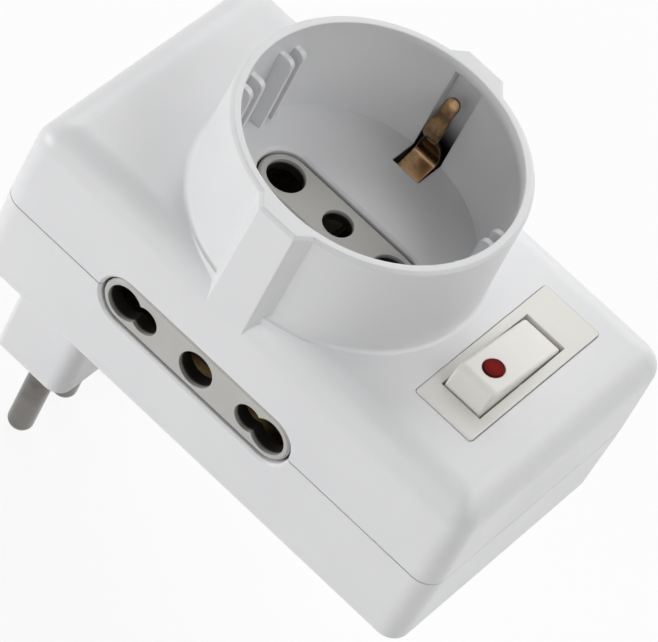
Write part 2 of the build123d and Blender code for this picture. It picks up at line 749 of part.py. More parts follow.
# Rocker: flat-topped shell with arc ends about the pivot, trunnions, a plunger guide and a lens hole
skirt_half = sqrt(rocker_radius**2 - rocker_skirt**2)
guide_radius = plunger_bore + plunger_guide_wall
trunnion_length = rocker_width + 2 * (rocker_side_gap + trunnion_reach)
with BuildPart() as switch_rocker:
    with BuildSketch(rocker_side_plane.offset(-rocker_width / 2)) as rocker_profile:
        with BuildLine():
            Line((-rocker_corner, rocker_top), (rocker_corner, rocker_top))
            ThreePointArc((rocker_corner, rocker_top), (rocker_radius, 0), (skirt_half, -rocker_skirt))
            Line((skirt_half, -rocker_skirt), (-skirt_half, -rocker_skirt))
            ThreePointArc((-skirt_half, -rocker_skirt), (-rocker_radius, 0), (-rocker_corner, rocker_top))
        make_face()
        fillet(rocker_profile.vertices().group_by(Axis.Y)[-1], rocker_end_round)
    extrude(amount=rocker_width)
    top_face = switch_rocker.faces().sort_by_distance(rocker_plane.offset(rocker_top).origin)[0]
    fillet(top_face.edges(), rocker_edge_round)
    with BuildSketch(rocker_plane.offset(-rocker_skirt)):
        Rectangle(rocker_width - 2 * rocker_wall, 2 * (rocker_corner - rocker_wall))
    extrude(amount=rocker_skirt + rocker_ceiling, mode=Mode.SUBTRACT)
    with BuildSketch(rocker_side_plane.offset(-trunnion_length / 2)):
        Circle(trunnion_radius)
    extrude(amount=(trunnion_length - rocker_width) / 2 + rocker_wall)
    with BuildSketch(rocker_side_plane.offset(trunnion_length / 2)):
        Circle(trunnion_radius)
    extrude(amount=-(trunnion_length - rocker_width) / 2 - rocker_wall)
    with BuildSketch(rocker_plane.offset(-rocker_skirt)):
        Rectangle(rocker_width - rocker_wall, 2 * guide_radius)
        Circle(plunger_bore, mode=Mode.SUBTRACT)
    extrude(amount=rocker_skirt + rocker_ceiling)
    with BuildSketch(rocker_plane.offset(rocker_ceiling)):
        with Locations((0, lens_y)):
            Ellipse(lens_half_width + lens_clearance, lens_half_length + lens_clearance)
    extrude(amount=rocker_wall, mode=Mode.SUBTRACT)
save(switch_rocker, "switch_rocker")

# Indicator lens: oval button through the rocker's top, a bar across it under that top
with BuildPart() as indicator_lens:
    with BuildSketch(rocker_plane.offset(rocker_ceiling)):
        with Locations((0, lens_y)):
            Ellipse(lens_half_width, lens_half_length)
    extrude(amount=rocker_wall + lens_bevel)
    lens_top = indicator_lens.faces().sort_by(Axis(rocker_plane.origin, rocker_up))[-1]
    chamfer(lens_top.edges(), lens_bevel)
    with BuildSketch(rocker_plane.offset(rocker_ceiling)):
        with Locations((0, lens_y)):
            Rectangle(2 * (lens_half_width + lens_flange), lens_half_length)
    extrude(amount=-lens_flange_height)
save(indicator_lens, "indicator_lens")

# Neon lamp and its resistor, lying inside the rocker on either side of the plunger
lamp_z = rocker_ceiling - lens_flange_height - lamp_gap - lamp_radius
lamp_start = -guide_radius - lamp_gap - lamp_length
with BuildPart() as neon_lamp:
    with BuildSketch(rocker_side_plane) as lamp_profile:
        with BuildLine():
            Polyline(
                (lamp_start, lamp_z),
                (lamp_start, lamp_z + lamp_radius),
                (lamp_start + lamp_length, lamp_z + lamp_radius),
                (lamp_start + lamp_length, lamp_z),
                close=True,
            )
        make_face()
        fillet(lamp_profile.vertices().group_by(Axis.X)[0].sort_by(Axis.Y)[-1], lamp_end_round)
    revolve(axis=Axis(rocker_plane.from_local_coords((0, 0, lamp_z)), rocker_across))
save(neon_lamp, "neon_lamp")

resistor_z = rocker_ceiling - lamp_gap - resistor_radius
resistor_start = guide_radius + lamp_gap
resistor_point = rocker_plane.from_local_coords((0, resistor_start, resistor_z))
resistor_end = Plane(origin=resistor_point, x_dir=(1, 0, 0), z_dir=rocker_across)
with BuildPart() as lamp_resistor:
    with BuildSketch(resistor_end):
        Circle(resistor_radius)
    extrude(amount=resistor_length)
    chamfer(lamp_resistor.edges(), resistor_end_chamfer)
save(lamp_resistor, "lamp_resistor")

# Plunger and spring that snap the contact lever over
plunger_shoulder = plunger_reach - plunger_tip_radius
with BuildPart() as switch_plunger:
    with BuildSketch(rocker_side_plane):
        with BuildLine():
            Polyline(
                (0, -plunger_reach),
                (0, -plunger_seat),
                (plunger_radius, -plunger_seat),
                (plunger_radius, -rocker_skirt - plunger_seat),
                (plunger_tip_radius, -rocker_skirt - 2 * plunger_seat),
                (plunger_tip_radius, -plunger_shoulder),
            )
            RadiusArc((plunger_tip_radius, -plunger_shoulder), (0, -plunger_reach), plunger_tip_radius)
        make_face()
    revolve(axis=Axis(rocker_plane.origin, rocker_up))
save(switch_plunger, "switch_plunger")

spring_height = rocker_ceiling + plunger_seat - 2 * spring_wire
spring_radius = plunger_radius - spring_wire
spring_bottom = rocker_plane.offset(spring_wire - plunger_seat)
with BuildPart() as switch_spring:
    with BuildLine() as coil:
        Helix(
            pitch=spring_height / spring_turns,
            height=spring_height,
            radius=spring_radius,
            center=spring_bottom.origin,
            direction=rocker_up,
        )
    with BuildSketch(Plane(origin=coil.line @ 0, z_dir=coil.line % 0)):
        RegularPolygon(spring_wire, spring_wire_sides)
    sweep(path=coil.line, is_frenet=True)
save(switch_spring, "switch_spring")

# Contact lever: a see-saw over the middle terminal with a contact button at its near end
button_y = lever_length / 2 - contact_button_radius
with BuildPart() as contact_lever:
    with BuildSketch(lever_side_plane.offset(-lever_width / 2)):
        Rectangle(lever_length, lever_thickness)
    extrude(amount=lever_width)
    with BuildSketch(lever_plane.offset(-lever_thickness / 2)):
        with Locations((0, -button_y)):
            Circle(contact_button_radius)
    extrude(amount=-contact_button_height)
save(contact_lever, "contact_lever")


def switch_terminal(terminal_y, post_top_z, button):
    # Terminal: a blade down to its strip, a foot on the switch floor, a post or a contact button on top
    with BuildPart() as terminal:
        with BuildSketch(Plane.XY.offset(strip_top_z)):
            with Locations((switch_x, terminal_y)):
                Rectangle(terminal_width, terminal_thickness)
        extrude(amount=switch_floor_z - strip_top_z)
        with BuildSketch(Plane.XY.offset(switch_floor_z)):
            with Locations((switch_x, terminal_y)):
                Rectangle(terminal_width, terminal_foot)
        extrude(amount=terminal_thickness)
        with BuildSketch(Plane.XY.offset(switch_floor_z + terminal_thickness)):
            with Locations((switch_x, terminal_y)):
                if button:
                    Circle(contact_button_radius)
                else:
                    Rectangle(terminal_width / 2, terminal_thickness)
        extrude(amount=post_top_z - switch_floor_z - terminal_thickness)
    return terminal


lever_underside_z = lever_z - lever_thickness / 2
fixed_contact_z = (
    lever_z
    - (lever_thickness / 2 + contact_button_height) * cos(lever_rest)
    - (button_y + contact_button_radius) * sin(lever_rest)
    - lever_clearance
)
save(switch_terminal(0, lever_underside_z - lever_clearance, False), "switch_terminal_in")
save(switch_terminal(-terminal_pitch, fixed_contact_z, True), "switch_terminal_out")
save(switch_terminal(terminal_pitch, fixed_contact_z, False), "switch_terminal_neutral")
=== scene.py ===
import json
import bpy
import numpy as np
from mathutils import Matrix, Vector


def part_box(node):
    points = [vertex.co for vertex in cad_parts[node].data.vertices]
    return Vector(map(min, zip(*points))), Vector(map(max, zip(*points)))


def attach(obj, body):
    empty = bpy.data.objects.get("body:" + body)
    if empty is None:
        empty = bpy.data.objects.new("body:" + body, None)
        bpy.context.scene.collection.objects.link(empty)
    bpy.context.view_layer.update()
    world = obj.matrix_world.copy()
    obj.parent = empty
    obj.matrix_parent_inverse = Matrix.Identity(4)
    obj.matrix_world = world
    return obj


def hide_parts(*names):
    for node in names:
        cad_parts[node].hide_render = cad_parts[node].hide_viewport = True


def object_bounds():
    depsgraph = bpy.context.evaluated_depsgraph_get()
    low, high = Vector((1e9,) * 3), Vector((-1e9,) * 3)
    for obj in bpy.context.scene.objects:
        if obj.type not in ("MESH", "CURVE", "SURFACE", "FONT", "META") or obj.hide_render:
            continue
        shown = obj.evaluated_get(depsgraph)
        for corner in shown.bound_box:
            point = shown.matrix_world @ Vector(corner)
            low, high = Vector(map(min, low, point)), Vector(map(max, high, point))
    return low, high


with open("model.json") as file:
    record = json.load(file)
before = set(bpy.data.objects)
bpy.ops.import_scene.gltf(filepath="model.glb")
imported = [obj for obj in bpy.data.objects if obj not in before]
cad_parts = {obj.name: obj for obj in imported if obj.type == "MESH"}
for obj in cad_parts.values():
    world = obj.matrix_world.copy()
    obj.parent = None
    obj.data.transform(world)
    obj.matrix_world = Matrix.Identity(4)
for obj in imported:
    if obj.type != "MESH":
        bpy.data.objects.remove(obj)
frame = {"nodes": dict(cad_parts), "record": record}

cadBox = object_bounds()
nodes = frame["nodes"]
print("frame loaded:", len(nodes), "nodes")


# node helpers

def newGroup(name, numbers, outputs):
    # a group that takes a position and the named numbers, and gives the named outputs
    group = bpy.data.node_groups.new(name, "ShaderNodeTree")
    sockets = group.interface
    sockets.new_socket("Position", in_out="INPUT", socket_type="NodeSocketVector")
    for label, value in numbers.items():
        socket = sockets.new_socket(label, in_out="INPUT", socket_type="NodeSocketFloat")
        socket.default_value = value
    for label, kind in outputs.items():
        sockets.new_socket(label, in_out="OUTPUT", socket_type=kind)
    return group, group.nodes.new("NodeGroupInput"), group.nodes.new("NodeGroupOutput")


def addNode(tree, kind, links=None, **settings):
    # one node with its settings, and its inputs wired to sockets or set to values
    node = tree.nodes.new(kind)
    for key, value in settings.items():
        setattr(node, key, value)
    for key, value in (links or {}).items():
        if isinstance(value, bpy.types.NodeSocket):
            tree.links.new(value, node.inputs[key])
        else:
            node.inputs[key].default_value = value
    return node


def mathNode(tree, operation, first, second=0.0, clamp=False):
    # the named operation on two numbers
    node = addNode(tree, "ShaderNodeMath", {0: first, 1: second},
                   operation=operation, use_clamp=clamp)
    return node.outputs[0]


def vectorNode(tree, operation, first, second):
    # the named operation on two vectors
    return addNode(tree, "ShaderNodeVectorMath", {0: first, 1: second}, operation=operation)


def noiseNode(tree, place, scale, detail, rough):
    # fractal noise about 0.5 at a place
    node = addNode(tree, "ShaderNodeTexNoise",
                   {"Vector": place, "Scale": scale, "Detail": detail, "Roughness": rough})
    return node.outputs["Fac"]


def mapRange(tree, value, start=(0.0, 1.0), end=(0.0, 1.0), curve="LINEAR"):
    # carries the range start over to the range end, held at its ends
    node = addNode(tree, "ShaderNodeMapRange",
                   {"Value": value, "From Min": start[0], "From Max": start[1],
                    "To Min": end[0], "To Max": end[1]}, interpolation_type=curve)
    return node.outputs["Result"]


# node groups

grainNoise = dict(fineDetail=3.0, fineRough=0.6, slowDetail=4.0, slowRough=0.55, spread=(0.3, 0.7))


def makeMouldGrain(look):
    # Height is fine noise like a spark-eroded mould, Drift is slow noise from 0 to 1
    group, given, out = newGroup("mouldGrain", {"Grain Scale": 9000.0, "Drift Scale": 60.0},
                                 {"Height": "NodeSocketFloat", "Drift": "NodeSocketFloat"})
    place = given.outputs["Position"]
    fine = noiseNode(group, place, given.outputs["Grain Scale"], look["fineDetail"], look["fineRough"])
    slow = noiseNode(group, place, given.outputs["Drift Scale"], look["slowDetail"], look["slowRough"])
    group.links.new(fine, out.inputs["Height"])
    group.links.new(mapRange(group, slow, look["spread"]), out.inputs["Drift"])
    return group


wearNoise = dict(samples=6, detail=3.0, rough=0.5, spread=(0.35, 0.6))


def makeEdgeWear(look):
    # Mask is one minus the cosine between the face's normal and the normal averaged over Radius,
    # times Gain and noise
    group, given, out = newGroup("edgeWear", {"Radius": 0.0003, "Gain": 3.0, "Break Scale": 900.0},
                                 {"Mask": "NodeSocketFloat", "Normal": "NodeSocketVector"})
    soft = addNode(group, "ShaderNodeBevel", {"Radius": given.outputs["Radius"]},
                   samples=look["samples"])
    face = addNode(group, "ShaderNodeNewGeometry")
    cosine = vectorNode(group, "DOT_PRODUCT", soft.outputs["Normal"], face.outputs["Normal"])
    bend = mathNode(group, "SUBTRACT", 1.0, cosine.outputs["Value"])
    bend = mathNode(group, "MULTIPLY", bend, given.outputs["Gain"], True)
    broken = noiseNode(group, given.outputs["Position"], given.outputs["Break Scale"],
                       look["detail"], look["rough"])
    patch = mapRange(group, broken, look["spread"])
    group.links.new(mathNode(group, "MULTIPLY", bend, patch, True), out.inputs["Mask"])
    group.links.new(soft.outputs["Normal"], out.inputs["Normal"])
    return group


lineNoise = dict(lineDetail=3.0, lineRough=0.65, patchDetail=5.0, patchRough=0.6, spread=(0.42, 0.68))


def makeHairlines(look):
    # Lines is noise squeezed along one way, as drawn, rolled or wiped; Tarnish is patchy slow noise
    group, given, out = newGroup("hairlines",
                                 {"Line Scale": 4000.0, "Stretch": 40.0, "Patch Scale": 350.0},
                                 {"Lines": "NodeSocketFloat", "Tarnish": "NodeSocketFloat"})
    place = given.outputs["Position"]
    along = mathNode(group, "DIVIDE", 1.0, given.outputs["Stretch"])
    squeeze = addNode(group, "ShaderNodeCombineXYZ", {"X": along, "Y": 1.0, "Z": 1.0})
    stretched = vectorNode(group, "MULTIPLY", place, squeeze.outputs[0])
    lines = noiseNode(group, stretched.outputs[0], given.outputs["Line Scale"],
                      look["lineDetail"], look["lineRough"])
    patch = noiseNode(group, place, given.outputs["Patch Scale"],
                      look["patchDetail"], look["patchRough"])
    group.links.new(lines, out.inputs["Lines"])
    group.links.new(mapRange(group, patch, look["spread"]), out.inputs["Tarnish"])
    return group


def makeHoleShade():
    # Painted shade in holes: Mask grows from 0 at Lip to 1 at Full with the depth under a face,
    # which is Level minus the position along Outward
    group, given, out = newGroup("holeShade", {"Level": 0.0, "Lip": 0.0003, "Full": 0.0009},
                                 {"Mask": "NodeSocketFloat"})
    group.interface.new_socket("Outward", in_out="INPUT", socket_type="NodeSocketVector")
    along = vectorNode(group, "DOT_PRODUCT", given.outputs["Position"], given.outputs["Outward"])
    depth = mathNode(group, "SUBTRACT", given.outputs["Level"], along.outputs["Value"])
    shade = mapRange(group, depth, (given.outputs["Lip"], given.outputs["Full"]), curve="SMOOTHSTEP")
    group.links.new(shade, out.inputs["Mask"])
    return group


def makeSlotShade():
    # Painted shade in a slot: Mask is for a slot of Half Width about Middle, between Near and Back
    # from the well's middle: 1 under Floor, and past Wall it falls from 1 at the height Full to 0 at
    # Clear
    labels = ("Middle", "Half Width", "Near", "Wall", "Back", "Floor", "Full", "Clear")
    group, given, out = newGroup("slotShade", dict.fromkeys(labels, 0.0), {"Mask": "NodeSocketFloat"})
    part = addNode(group, "ShaderNodeSeparateXYZ", {0: given.outputs["Position"]}).outputs
    across = mathNode(group, "SUBTRACT", part["X"], given.outputs["Middle"])
    across = mathNode(group, "ABSOLUTE", across)
    reach = mathNode(group, "ABSOLUTE", part["Y"])
    within = mathNode(group, "LESS_THAN", across, given.outputs["Half Width"])
    for operation, label in (("GREATER_THAN", "Near"), ("LESS_THAN", "Back")):
        limit = mathNode(group, operation, reach, given.outputs[label])
        within = mathNode(group, "MULTIPLY", within, limit)
    fade = mapRange(group, part["Z"], (given.outputs["Full"], given.outputs["Clear"]), (1.0, 0.0),
                    "SMOOTHSTEP")
    pastWall = mathNode(group, "GREATER_THAN", reach, given.outputs["Wall"])
    underFloor = mathNode(group, "LESS_THAN", part["Z"], given.outputs["Floor"])
    deep = mathNode(group, "MAXIMUM", mathNode(group, "MULTIPLY", fade, pastWall), underFloor)
    group.links.new(mathNode(group, "MULTIPLY", within, deep), out.inputs["Mask"])
    return group


mouldGrain = makeMouldGrain(grainNoise)
edgeWear = makeEdgeWear(wearNoise)
hairlines = makeHairlines(lineNoise)
holeShade = makeHoleShade()
slotShade = makeSlotShade()
print("node groups made")


# materials

def newMaterial(name, turn=(0.0, 0.0, 0.0)):
    # a node material with its shader, and Object coordinates turned by the given angles in degrees
    material = bpy.data.materials.new(name)
    material.use_nodes = True
    tree = material.node_tree
    tree.nodes.clear()
    shader = addNode(tree, "ShaderNodeBsdfPrincipled")
    addNode(tree, "ShaderNodeOutputMaterial", {"Surface": shader.outputs["BSDF"]})
    place = addNode(tree, "ShaderNodeTexCoord").outputs["Object"]
    if any(turn):
        angles = np.radians(turn).tolist()
        place = addNode(tree, "ShaderNodeMapping", {"Vector": place, "Rotation": angles}).outputs[0]
    return material, tree, shader, place


def placeGroup(tree, group, place, **values):
    # a node group at a place, with its own values
    node = addNode(tree, "ShaderNodeGroup", node_tree=group)
    tree.links.new(place, node.inputs["Position"])
    for label, value in values.items():
        node.inputs[label].default_value = value
    return node


def placeGrain(tree, place, grain, drift):
    # the moulded grain with its two scales
    return placeGroup(tree, mouldGrain, place, **{"Grain Scale": grain, "Drift Scale": drift})


def mixColour(tree, factor, first, second):
    # the first colour at factor 0, the second at 1
    node = addNode(tree, "ShaderNodeMix", data_type="RGBA")
    tree.links.new(factor, node.inputs[0])
    for key, value in ((6, first), (7, second)):
        if isinstance(value, bpy.types.NodeSocket):
            tree.links.new(value, node.inputs[key])
        else:
            node.inputs[key].default_value = (*value, 1.0)
    return node.outputs[2]


def addBump(tree, shader, height, distance, strength, normal=None):
    # bends the shader's normal by a height
    links = {"Height": height, "Distance": distance, "Strength": strength}
    if normal:
        links["Normal"] = normal
    bump = addNode(tree, "ShaderNodeBump", links)
    tree.links.new(bump.outputs["Normal"], shader.inputs["Normal"])


plasticShared = dict(ior=1.5, bump=0.6)
# inside is painted shade: the near-black tone laid into hole and slot walls
plastics = {
    "white_plastic": dict(
        light=(0.80, 0.803, 0.810), dark=(0.765, 0.768, 0.778), edge=(0.84, 0.843, 0.85),
        inside=(0.012, 0.011, 0.010), rough=(0.30, 0.40), edgeRough=0.24,
        grain=7000.0, grainDepth=0.000012, drift=45.0, radius=0.00035),
    "grey_plastic": dict(
        light=(0.52, 0.512, 0.488), dark=(0.475, 0.467, 0.444), edge=(0.58, 0.572, 0.546),
        inside=(0.010, 0.009, 0.008), rough=(0.42, 0.54), edgeRough=0.36,
        grain=6000.0, grainDepth=0.00002, drift=90.0, radius=0.0002),
    "cream_plastic": dict(
        light=(0.79, 0.775, 0.735), dark=(0.755, 0.738, 0.695), edge=(0.83, 0.815, 0.78),
        rough=(0.28, 0.38), edgeRough=0.22,
        grain=8000.0, grainDepth=0.00001, drift=80.0, radius=0.0003),
}


def makePlastic(name, look, shadeGroup=None, shadeValues=None):
    # moulded plastic: tone drifts slowly, edges are polished by handling, a fine grain lies over all,
    # and what the shade group masks is painted near-black as shade
    material, tree, shader, place = newMaterial(name)
    grain = placeGrain(tree, place, look["grain"], look["drift"])
    wear = placeGroup(tree, edgeWear, place, Radius=look["radius"])
    tone = mixColour(tree, grain.outputs["Drift"], look["light"], look["dark"])
    tone = mixColour(tree, wear.outputs["Mask"], tone, look["edge"])
    if shadeGroup:
        shade = placeGroup(tree, shadeGroup, place, **shadeValues)
        # painted shade: the masked hollows take the near-black shade tone
        tone = mixColour(tree, shade.outputs["Mask"], tone, look["inside"])
    tree.links.new(tone, shader.inputs["Base Color"])
    rough = mapRange(tree, grain.outputs["Drift"], end=look["rough"])
    polish = addNode(tree, "ShaderNodeMix",
                     {0: wear.outputs["Mask"], 2: rough, 3: look["edgeRough"]}, data_type="FLOAT")
    tree.links.new(polish.outputs[0], shader.inputs["Roughness"])
    addBump(tree, shader, grain.outputs["Height"], look["grainDepth"], plasticShared["bump"],
            wear.outputs["Normal"])
    shader.inputs["IOR"].default_value = plasticShared["ior"]
    return material


metalShared = dict(wearGain=4.0, tarnishRough=0.12, bump=0.5)
metals = {
    # painted shade: the pin's tones are set far darker than bare nickel, standing in for dark reflections
    # and the shade under the plug
    "nickel_pin": dict(
        bright=(0.20, 0.19, 0.178), dull=(0.13, 0.122, 0.112), rough=(0.07, 0.13),
        stretch=60.0, lines=9000.0, patch=160.0, depth=0.000004, turn=(0.0, 0.0, 0.0), radius=0.0002),
    "spring_bronze": dict(
        bright=(0.25, 0.16, 0.086), dull=(0.105, 0.064, 0.033), rough=(0.14, 0.28),
        stretch=25.0, lines=6000.0, patch=300.0, depth=0.000008, turn=(0.0, 90.0, 0.0), radius=0.00015),
    "brass_strip": dict(
        bright=(0.46, 0.33, 0.14), dull=(0.27, 0.185, 0.08), rough=(0.22, 0.38),
        stretch=40.0, lines=5000.0, patch=260.0, depth=0.000006, turn=(0.0, 0.0, 0.0), radius=0.00015),
    "screw_steel": dict(
        bright=(0.60, 0.60, 0.60), dull=(0.42, 0.42, 0.41), rough=(0.26, 0.42),
        stretch=4.0, lines=7000.0, patch=600.0, depth=0.000008, turn=(0.0, 90.0, 0.0), radius=0.0002),
    "spring_steel": dict(
        bright=(0.58, 0.58, 0.59), dull=(0.38, 0.37, 0.36), rough=(0.18, 0.34),
        stretch=12.0, lines=9000.0, patch=900.0, depth=0.000004, turn=(0.0, 90.0, 0.0), radius=0.0001),
}


def makeMetal(slot, look):
    # drawn or rolled metal: hairlines along the work, patches of tarnish, brighter worn edges
    material, tree, shader, place = newMaterial(slot, look["turn"])
    marks = placeGroup(tree, hairlines, place, **{
        "Line Scale": look["lines"], "Stretch": look["stretch"], "Patch Scale": look["patch"]})
    wear = placeGroup(tree, edgeWear, place, Radius=look["radius"], Gain=metalShared["wearGain"])
    tone = mixColour(tree, marks.outputs["Tarnish"], look["bright"], look["dull"])
    tone = mixColour(tree, wear.outputs["Mask"], tone, look["bright"])
    tree.links.new(tone, shader.inputs["Base Color"])
    rough = mapRange(tree, marks.outputs["Lines"], end=look["rough"])
    dulled = mathNode(tree, "MULTIPLY_ADD", marks.outputs["Tarnish"], metalShared["tarnishRough"])
    tree.links.new(rough, dulled.node.inputs[2])
    tree.links.new(dulled, shader.inputs["Roughness"])
    addBump(tree, shader, marks.outputs["Lines"], look["depth"], metalShared["bump"],
            wear.outputs["Normal"])
    shader.inputs["Metallic"].default_value = 1.0
    return material


# painted shade: the lens is lighter red in its middle and darker towards its rim
redLens = dict(centre=(0.24, 0.0065, 0.0040), shadedRim=(0.085, 0.0030, 0.0025), fade=(0.00054, 0.00198),
               rough=(0.26, 0.38), shine=0.02, grain=9000.0, drift=700.0, grainDepth=0.000004, bump=0.4)


def makeRedLens(slot, look):
    # coloured lens with painted shade: the tone darkens with the distance from the lens's middle out to
    # its rim
    material, tree, shader, place = newMaterial(slot)
    low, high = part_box("indicator_lens")
    reach = vectorNode(tree, "DISTANCE", place, tuple((low + high) / 2)).outputs["Value"]
    tone = mixColour(tree, mapRange(tree, reach, look["fade"]), look["centre"], look["shadedRim"])
    grain = placeGrain(tree, place, look["grain"], look["drift"])
    tree.links.new(tone, shader.inputs["Base Color"])
    rough = mapRange(tree, grain.outputs["Drift"], end=look["rough"])
    tree.links.new(rough, shader.inputs["Roughness"])
    addBump(tree, shader, grain.outputs["Height"], look["grainDepth"], look["bump"])
    shader.inputs["Specular IOR Level"].default_value = look["shine"]
    return material


lampGlass = dict(clear=(0.96, 0.95, 0.93), smoked=(0.80, 0.66, 0.52), rough=(0.02, 0.10),
                 grain=3000.0, smokeScale=500.0, ior=1.47)


def makeLampGlass(slot, look):
    # clear bulb with a faint brown deposit in patches
    material, tree, shader, place = newMaterial(slot)
    smoke = placeGrain(tree, place, look["grain"], look["smokeScale"]).outputs["Drift"]
    tree.links.new(mixColour(tree, smoke, look["clear"], look["smoked"]), shader.inputs["Base Color"])
    tree.links.new(mapRange(tree, smoke, end=look["rough"]), shader.inputs["Roughness"])
    shader.inputs["Transmission Weight"].default_value = 1.0
    shader.inputs["IOR"].default_value = look["ior"]
    return material


resistorBody = dict(light=(0.60, 0.47, 0.30), dark=(0.50, 0.38, 0.23), rough=(0.32, 0.46),
                    grain=2500.0, drift=400.0, grainDepth=0.00003, bump=0.5)


def makeResistorBody(slot, look):
    # lacquered ceramic with slow tone changes and a slightly pebbled coat
    material, tree, shader, place = newMaterial(slot)
    grain = placeGrain(tree, place, look["grain"], look["drift"])
    tone = mixColour(tree, grain.outputs["Drift"], look["light"], look["dark"])
    tree.links.new(tone, shader.inputs["Base Color"])
    rough = mapRange(tree, grain.outputs["Drift"], end=look["rough"])
    tree.links.new(rough, shader.inputs["Roughness"])
    addBump(tree, shader, grain.outputs["Height"], look["grainDepth"], look["bump"])
    return material


def dress(node, material):
    # gives one material to all of a CAD node
    for place in nodes[node].material_slots:
        place.material = material


def middleX(node):
    # halfway across a CAD node
    low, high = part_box(node)
    return (low.x + high.x) / 2


insertFaces = {"well_insert": (0.0, 0.0, 1.0), "side_insert_front": (0.0, -1.0, 0.0),
               "side_insert_rear": (0.0, 1.0, 0.0)}
# the earth clips' slots in the front cover, in metres, where painted shade darkens the slot walls
clipSlot = {"Half Width": 0.00243, "Near": 0.0144, "Wall": 0.0193, "Back": 0.0213,
            "Floor": 0.0489, "Full": 0.0500, "Clear": 0.0572}

finishes = {slot: makePlastic(slot, look) for slot, look in plastics.items()}
finishes.update({slot: makeMetal(slot, look) for slot, look in metals.items()})
finishes["red_lens"] = makeRedLens("red_lens", redLens)
finishes["lamp_glass"] = makeLampGlass("lamp_glass", lampGlass)
finishes["resistor_body"] = makeResistorBody("resistor_body", resistorBody)
for subpart in frame["record"]["subparts"]:
    dress(subpart["node"], finishes[subpart["material_slot"]])
# painted shade: each insert's hole walls darken with their depth under its face
for node, outward in insertFaces.items():
    level = max(np.dot(corner, outward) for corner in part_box(node))
    dress(node, makePlastic(node, plastics["grey_plastic"], holeShade,
                            {"Level": level, "Outward": outward}))
# painted shade: the slot walls behind the earth clips are darkened towards their floor
dress("front_cover", makePlastic("front_cover", plastics["white_plastic"], slotShade,
                                 {"Middle": middleX("earth_clip_rear"), **clipSlot}))
print("finishes given:", len(finishes))


# spring clips

springClip = dict(
    # in units: distance from the well's middle, height, half width, crown
    stations=[
        (5.0, 36.9, 2.0, 0.0), (13.4, 36.9, 2.0, 0.0), (15.2, 36.9, 2.0, 0.0), (15.2, 38.7, 2.0, 0.0),
        (15.2, 45.6, 2.0, 0.0), (15.3, 47.1, 2.0, 0.0), (16.9, 47.75, 2.0, 0.0),
        (18.3, 48.35, 2.0, 0.0), (19.1, 48.7, 2.0, 0.0), (19.5, 49.9, 1.95, 0.0),
        (19.2, 51.4, 1.75, 0.0), (18.3, 53.0, 1.35, 0.1), (17.2, 54.4, 1.2, 0.2),
        (16.4, 55.7, 1.3, 0.25), (16.4, 56.8, 1.35, 0.25), (16.95, 58.0, 1.3, 0.2),
        (17.35, 58.9, 1.1, 0.15), (17.4, 59.8, 1.1, 0.15), (17.75, 60.6, 1.15, 0.2),
        (18.2, 61.4, 1.15, 0.2), (18.5, 62.0, 1.15, 0.1)],
    unit=0.001, halfThickness=0.0003, edgeRound=0.00012, tipAngle=1.45,
    stepsPerSpan=24, alongSteps=150, tipSteps=14, acrossSteps=9, cornerSteps=4)


def curveThrough(stations, steps):
    # quadratic B-spline of the stations, with both ends doubled so that it starts and stops on them
    padded = np.vstack([stations[:1], stations, stations[-1:]])
    t = np.linspace(0.0, 1.0, steps, endpoint=False)[:, None]
    spans = [(1 - t) ** 2 / 2 * a + (1 + 2 * t - 2 * t ** 2) / 2 * b + t ** 2 / 2 * c
             for a, b, c in zip(padded[:-2], padded[1:-1], padded[2:])]
    return np.vstack(spans + [stations[-1:]])


def clipRing(look, half):
    # outline of the strip's section: two flat rows joined by rounded corners,
    # as (across, through) pairs
    bend, thick = look["edgeRound"], look["halfThickness"]
    flat = half - bend
    row = np.linspace(-flat, flat, look["acrossSteps"])
    turn = np.linspace(0.0, np.pi / 2, look["cornerSteps"] + 1)
    angle = np.concatenate([np.pi / 2 - turn[1:], -turn[:-1]])
    rise = np.repeat([thick - bend, bend - thick], look["cornerSteps"])
    edge = np.stack([flat + bend * np.cos(angle), rise + bend * np.sin(angle)], 1)
    top = np.stack([row, np.full_like(row, thick)], 1)
    return np.vstack([top, edge, -top, -edge])


def clipPoints(look, middle, side):
    # the section carried along the curve, raised by the crown times one minus the square of the share
    # across, with the rounded end narrowing as the cosine of the tip's angle
    curve = curveThrough(np.array(look["stations"]) * look["unit"], look["stepsPerSpan"])
    steps = np.linalg.norm(np.diff(curve[:, :2], axis=0), axis=1)
    length = np.concatenate([[0.0], np.cumsum(steps)])
    tip = curve[-1, 2]
    tipStart = length[-1] - tip
    angle = np.linspace(0.0, look["tipAngle"], look["tipSteps"])
    along = np.concatenate([np.linspace(0.0, tipStart, look["alongSteps"])[:-1],
                            tipStart + tip * np.sin(angle)])
    y, z, half, crown = [np.interp(along, length, column) for column in curve.T]
    half[-len(angle):] = tip * np.cos(angle)
    slope = np.stack([np.gradient(y, along), np.gradient(z, along)], 1)
    slope /= np.linalg.norm(slope, axis=1, keepdims=True)
    rings = []
    for i in range(len(along)):
        across, through = clipRing(look, half[i]).T
        through = through + crown[i] * (1 - (across / half[i]) ** 2)
        rings.append(np.stack([middle + across, side * (y[i] - slope[i, 1] * through),
                               z[i] + slope[i, 0] * through], 1))
    return np.array(rings)


